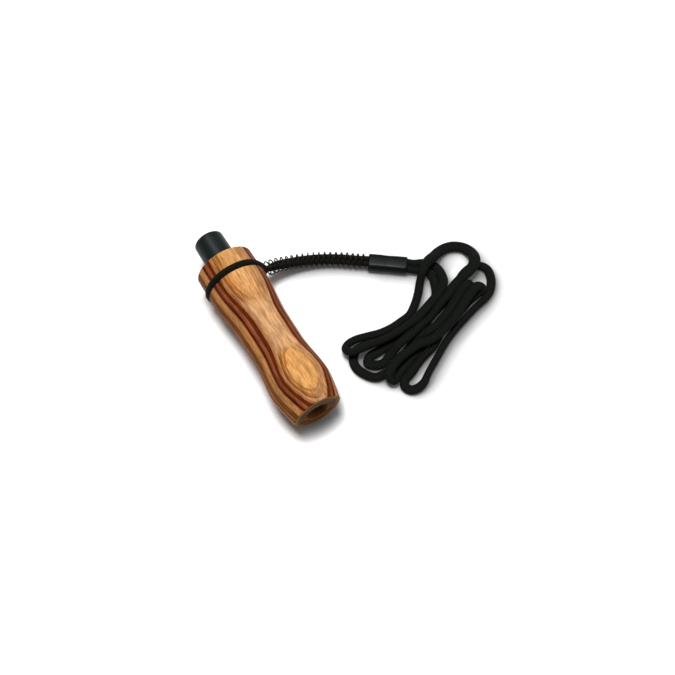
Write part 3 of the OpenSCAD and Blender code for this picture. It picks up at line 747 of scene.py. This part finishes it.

# %% [markdown]
# The thin dark lines near the top of the stack don't run all the way: they fade out along the
# waist. On the far side the outer veneers are painted paler, as painted light, most of all along
# the waist. A honey colour is mixed in for both.

# %% Laminated wood: the pale waist, and painted light on the far side
# each fade follows the way along the barrel, across it or through the stack. It starts at one
# place and ends at another, in mm, and goes from one value to another
fades = {}
for name, way, start, end, first_value, last_value in (
        ("into the waist", along, 27, 38, 0, 1),
        ("out of the waist", along, 60, 68, 1, 0),
        ("into the bell", along, 50, 60, 0, 1),
        ("painted light on the far side", across, -3, 4, 0, 1),
        ("outer veneers", frayed, 12.35, 12.6, 0, 1),
        ("top lines", frayed, 13.36, 13.48, 0, 1),
        ("last line", frayed, 14.76, 14.9, 0, 0.9)):
    fades[name] = add(wood, "MapRange", {"Value": way, "From Min": start, "From Max": end,
                                         "To Min": first_value, "To Max": last_value},
                      interpolation_type="SMOOTHSTEP")

in_waist = add(wood, "Math", {0: fades["into the waist"], 1: fades["out of the waist"]},
               operation="MULTIPLY")
# painted light: the outer veneers on the far side are made paler, most along the waist
far_light_strength = add(wood, "MapRange", {"Value": in_waist, "To Min": 0.45, "To Max": 0.85},
                interpolation_type="SMOOTHSTEP")
painted_light_side = add(wood, "Math", {0: fades["painted light on the far side"], 1: far_light_strength}, operation="MULTIPLY")
waist_lines = add(wood, "Math", {0: in_waist, 1: fades["top lines"]}, operation="MULTIPLY")
painted_light_veneers = add(wood, "Math", {0: painted_light_side, 1: fades["outer veneers"]}, operation="MULTIPLY")
pale_lines_and_painted_light = add(wood, "Math", {0: waist_lines, 1: painted_light_veneers}, operation="MAXIMUM")
honey_and_painted_light = add(wood, "Mix", {0: pale_lines_and_painted_light, 6: stack_ramp, 7: linear("be9064")}, data_type="RGBA").outputs[2]
upper_bell = add(wood, "Math", {0: fades["into the bell"], 1: fades["last line"]},
                 operation="MULTIPLY")
stack_colour = add(wood, "Mix", {0: upper_bell, 6: honey_and_painted_light, 7: linear("c68e52")},
                   data_type="RGBA").outputs[2]
print("fades in the wood:", ", ".join(fades))

# %% [markdown]
# The end grain at the bell and the rim soaks up more dye and lacquer and shows the veneers only
# faintly, under a dark stain that is deepened as painted shade. The outer part of each end face
# is painted lighter, as a highlight, and the wall of the bore is painted darker, as shade.

# %% Laminated wood: grain
grain_tone = add(wood, "MapRange", {"Value": grain, "From Min": 0.33, "From Max": 0.62,
                                    "To Min": 0.64, "To Max": 1.2})
fibre_tone = add(wood, "MapRange", {"Value": fibre, "From Min": 0.35, "From Max": 0.65,
                                    "To Min": 0.86, "To Max": 1.12})
tone = add(wood, "Math", {0: grain_tone, 1: fibre_tone}, operation="MULTIPLY")
grained = add(wood, "VectorMath", {0: stack_colour, "Scale": tone}, operation="SCALE")

# %% Laminated wood: end grain with painted shade and highlight, and the bore's painted shade
# painted shade: end faces and the bore wall are darkened beyond the end grain's own stain
soaked_and_shaded_share = (0.2, 0.15, 0.07)
bore_margin = 0.3
normal = add(wood, "NewGeometry").outputs["Normal"]
facing = add(wood, "Math", {0: add(wood, "SeparateXYZ", {0: normal}).outputs["X"]},
             operation="ABSOLUTE")
is_end = add(wood, "MapRange", {"Value": facing, "From Min": 0.7, "From Max": 0.95})
radial = add(wood, "VectorMath", {0: in_mm, 1: (0, 1, 1)}, operation="MULTIPLY")
axis_distance = add(wood, "VectorMath", {0: radial}, operation="LENGTH").outputs["Value"]
is_bore = add(wood, "Math", {0: axis_distance, 1: bore_r + bore_margin}, operation="LESS_THAN")
# painted highlight: the outer part of each end face is lighter
face_rim_highlight = add(wood, "MapRange", {"Value": axis_distance, "From Min": 10.2, "From Max": 12.2},
                interpolation_type="SMOOTHSTEP")
face_stain_shade_and_highlight = add(wood, "Mix", {0: face_rim_highlight, 6: linear("3c2210"), 7: linear("6b5527")},
                 data_type="RGBA").outputs[2]
# painted shade: the wall of the bore is darker
stain_and_painted_shade = add(wood, "Mix", {0: is_bore, 6: face_stain_shade_and_highlight, 7: linear("70502f")}, data_type="RGBA").outputs[2]
soaked_and_shaded = add(wood, "VectorMath", {0: grained, 1: soaked_and_shaded_share, 2: stain_and_painted_shade}, operation="MULTIPLY_ADD")
is_soaked_or_shaded = add(wood, "Math", {0: is_end, 1: is_bore}, operation="MAXIMUM")

# %% Laminated wood: lacquer
feed(wood, wood_shader, {
    "Base Color": add(wood, "Mix", {0: is_soaked_or_shaded, 6: grained, 7: soaked_and_shaded}, data_type="RGBA").outputs[2],
    "Roughness": add(wood, "MapRange", {"Value": grain, "To Min": 0.38, "To Max": 0.55}),
    "Normal": add(wood, "Bump", {"Height": fibre, "Strength": 0.25, "Distance": 0.05 * MM}),
    "Specular IOR Level": 0.03})
wear(barrel, wood)

# %% [markdown]
# ## Black acetal
# The mouthpiece is turned acetal plastic, which is dense black, slightly cool, and takes a satin
# gloss. Faint turning marks run round it, so their pattern is 0.2 mm along the axis and long
# across it. Real ones are finer still and wouldn't show.

# %% Black acetal
acetal, acetal_shader = new_material("turned black acetal")
marks_place = add(acetal, "Mapping", {"Vector": add(acetal, "TexCoord").outputs["Object"],
                                      "Scale": scale_for(0.2, 16.67, 16.67)})
marks = add(acetal, "TexNoise", {"Vector": marks_place, "Scale": 1})
feed(acetal, acetal_shader, {
    "Base Color": linear("121b19"),
    "Roughness": add(acetal, "MapRange", {"Value": marks, "To Min": 0.32, "To Max": 0.48}),
    "Normal": add(acetal, "Bump", {"Height": marks, "Strength": 0.15, "Distance": 0.02 * MM}),
    "IOR": 1.48,
    "Specular IOR Level": 0.17})
wear(mouthpiece, acetal)

# %% [markdown]
# ## Braided cord
# Both cords are braided polyester. A braid is two sets of strands that wind round opposite ways
# and pass over and under each other. On the tube's own map of girth and length, the two sets are
# two slanted stripes, and a chessboard of the two says which set is on top.

# %% Braided polyester
cell_length_share, thread_share, threads_a_cell = 0.8, 0.35, 6


def braided(name, girth, cells_round, colour_high, hollow_shade_colour, relief):
    """girth is in mm, cells_round the crossings round the cord, relief the bump's height in mm."""
    material, shader = new_material(name)
    parts = add(material, "SeparateXYZ", {0: add(material, "UVMap", uv_map="girth_and_length")})
    scale = cells_round / girth
    around = add(material, "Math", {0: parts.outputs["X"], 1: scale}, operation="MULTIPLY")
    lengthwise = add(material, "Math", {0: parts.outputs["Y"], 1: scale * cell_length_share},
                     operation="MULTIPLY")
    left = add(material, "Math", {0: around, 1: lengthwise}, operation="ADD")
    right = add(material, "Math", {0: around, 1: lengthwise}, operation="SUBTRACT")
    ridges = []
    for strand in (left, right):
        half_ridge = add(material, "Math", {0: strand, 1: 0.5}, operation="PINGPONG")
        ridges.append(add(material, "Math", {0: half_ridge, 1: 2}, operation="MULTIPLY"))
    weave = add(material, "CombineXYZ", {0: left, 1: right, 2: 0.5})
    chessboard = add(material, "TexChecker", {"Vector": weave, "Scale": 1, "Color1": (0, 0, 0, 1),
                                              "Color2": (1, 1, 1, 1)}).outputs["Fac"]
    height = add(material, "Mix", {0: chessboard, 2: ridges[0], 3: ridges[1]})
    threads = add(material, "TexNoise", {"Vector": weave, "Scale": threads_a_cell})
    rough_height = add(material, "Math", {0: threads, 1: thread_share, 2: height},
                       operation="MULTIPLY_ADD")
    # painted shade: where the weave lies lower, in its hollows, the colour is darker
    painted_shade = add(material, "MapRange", {"Value": rough_height, "From Min": 0.1, "From Max": 1.1})
    feed(material, shader, {
        "Base Color": add(material, "Mix", {0: painted_shade, 6: linear(hollow_shade_colour), 7: linear(colour_high)},
                          data_type="RGBA").outputs[2],
        "Normal": add(material, "Bump", {"Height": rough_height, "Strength": 0.8,
                                         "Distance": relief * MM}),
        "Roughness": 0.75,
        "Specular IOR Level": 0.1,
        "Sheen Weight": 0.01,
        "Sheen Roughness": 0.4,
        "Sheen Tint": linear("9fb0a4")})
    return material


wear(neck_cord, braided("soft black polyester braid", math.pi * neck_d, 8, "0c100b", "040504", 0.25))
wear(noose_cord, braided("tight black polyester braid", math.pi * noose_d, 8, "151106", "060401", 0.15))

# %% [markdown]
# ## Wire, sleeve and the pieces inside
# The wire is spring steel with a black baked coat, so it looks like dull paint and not like metal.
# The sleeve is heat-shrink tube, black-green and glossy, with soft dimples where it shrank. The
# sealing rings are dull rubber, the reed is clear polyester film with a sharp shine, and it is
# held on a moulded tone board of smooth grey ABS by a wedge of cork, which is brown and mealy.

# %% Coated wire and shrink tube
coat, coat_shader = new_material("black coated spring wire")
feed(coat, coat_shader, {"Base Color": linear("0c0c0b"), "Roughness": 0.5, "Specular IOR Level": 0.15})
wear(coil, coat)

dimple_size = 3.333
shrink, shrink_shader = new_material("glossy heat-shrink tube")
dimples = add(shrink, "TexNoise", {"Vector": add(shrink, "TexCoord").outputs["Object"],
                                   "Scale": 1 / (dimple_size * MM), "Detail": 3})
feed(shrink, shrink_shader, {
    "Base Color": linear("0b120f"),
    "Roughness": add(shrink, "MapRange", {"Value": dimples, "To Min": 0.24, "To Max": 0.44}),
    "Specular IOR Level": 0.1})
wear(sleeve, shrink)

# %% Rubber, film, board and cork
rubber, rubber_shader = new_material("nitrile rubber")
feed(rubber, rubber_shader, {"Base Color": linear("161616"), "Roughness": 0.55})
for ring in ("front_o_ring", "rear_o_ring"):
    wear(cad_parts[ring], rubber)

film, film_shader = new_material("clear polyester film")
feed(film, film_shader, {"Base Color": linear("d8dede"), "Roughness": 0.15, "Transmission Weight": 0.4})
wear(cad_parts["reed"], film)

board, board_shader = new_material("moulded grey ABS")
feed(board, board_shader, {"Base Color": linear("3a3f42"), "Roughness": 0.45})
wear(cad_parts["tone_board"], board)

cork, cork_shader = new_material("cut cork")
cork_cell = 1.111
cells = add(cork, "TexVoronoi", {"Vector": add(cork, "TexCoord").outputs["Object"],
                                 "Scale": 1 / (cork_cell * MM)}).outputs["Distance"]
cork_ramp = add(cork, "ValToRGB", {"Fac": cells})
cork_ramp.color_ramp.elements[0].color = linear("c79a68")
cork_ramp.color_ramp.elements[1].color = linear("8a6038")
feed(cork, cork_shader, {"Base Color": cork_ramp, "Roughness": 0.85})
wear(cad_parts["wedge"], cork)

# %% [markdown]
# ## The table and the light
# The photograph is a cut-out on white with a short soft shadow that falls towards the lower right
# of the picture, so there is one light on the other side. A second, broader one brightens the
# barrel's far side, and a plain surround fills the rest. The floor is white by its own colour,
# and only the camera sees it lifted to full white, as it sees the surround: nothing that shows is
# bare metal or glass. The photograph's shadow is as wide beside the low cords as beside the tall
# bell, which no lamp gives. So the lamp stands high, and a shadow is painted into the paper's
# colour: it turns grey where something near hides the lamp's side of the sky.

# %% Floor
table_size, table_cuts = 6, 3
near_reach, near_start, near_end = 10.5, 0.53, 0.98
darkest_painted_shadow, white_paper = linear("6c6c6c"), linear("efefef")
camera_lift = 0.05
lamp_side = {"X": -0.76, "Y": -0.42, "Z": 0.5}
bpy.ops.object.select_all(action="DESELECT")
bpy.ops.mesh.primitive_plane_add(size=table_size, location=(0, 0, 0))
table = bpy.context.object
table.name = "table"
bpy.ops.object.mode_set(mode="EDIT")
bpy.ops.mesh.select_all(action="SELECT")
bpy.ops.mesh.subdivide(number_cuts=table_cuts)
bpy.ops.object.mode_set(mode="OBJECT")
paper, paper_shader = new_material("white paper with painted shadow")
# painted shadow: the paper's colour turns grey where something near hides the lamp's side of the sky
toward_light = add(paper, "CombineXYZ", lamp_side)
open_sky = add(paper, "AmbientOcclusion", {"Distance": near_reach * MM,
                                           "Normal": toward_light}).outputs["AO"]
brightness = add(paper, "MapRange", {"Value": open_sky, "From Min": near_start, "From Max": near_end})
painted_shade = add(paper, "Mix", {0: brightness, 6: darkest_painted_shadow, 7: white_paper},
            data_type="RGBA").outputs[2]
feed(paper, paper_shader, {"Base Color": painted_shade, "Roughness": 0.9, "Specular IOR Level": 0.1})
camera_ray = add(paper, "LightPath").outputs["Is Camera Ray"]
lift = add(paper, "Math", {0: camera_ray, 1: camera_lift}, operation="MULTIPLY")
lifted = add(paper, "AddShader", {0: paper_shader, 1: add(paper, "Emission", {"Strength": lift})})
feed(paper, paper.node_tree.nodes["Material Output"], {"Surface": lifted})
wear(table, paper)

# %% Light
def broad_light(name, energy, spread_angle, height, x, y):
    """A far lamp: height is its angle above the table, x and y the side that it shines from."""
    data = bpy.data.lights.new(name, "SUN")
    data.energy = energy
    data.angle = math.radians(spread_angle)
    lamp = bpy.data.objects.new(name, data)
    bpy.context.collection.objects.link(lamp)
    level = math.cos(math.radians(height)) / math.hypot(x, y)
    lamp_from = Vector((x * level, y * level, math.sin(math.radians(height))))
    lamp.rotation_mode = "QUATERNION"
    lamp.rotation_quaternion = (-lamp_from).to_track_quat("-Z", "Y")
    print(name, "at", height, "degrees above the table")


broad_light("key light", energy=3.7, spread_angle=22, height=79, x=-0.99, y=-0.12)
broad_light("side light", energy=0.85, spread_angle=55, height=52, x=0.1, y=0.99)

surround_strength = 0.07
world = bpy.data.worlds.new("white surround")
world.use_nodes = True
bpy.context.scene.world = world
surround = world.node_tree.nodes["Background"]
feed(world, surround, {"Color": (1, 1, 1, 1), "Strength": surround_strength})
seen_white = add(world, "Background", {"Color": (1, 1, 1, 1)})
seen = add(world, "LightPath").outputs["Is Camera Ray"]
either = add(world, "MixShader", {0: seen, 1: surround, 2: seen_white})
feed(world, world.node_tree.nodes["World Output"], {"Surface": either})

# %% View settings
bpy.context.scene.view_settings.view_transform = "Standard"
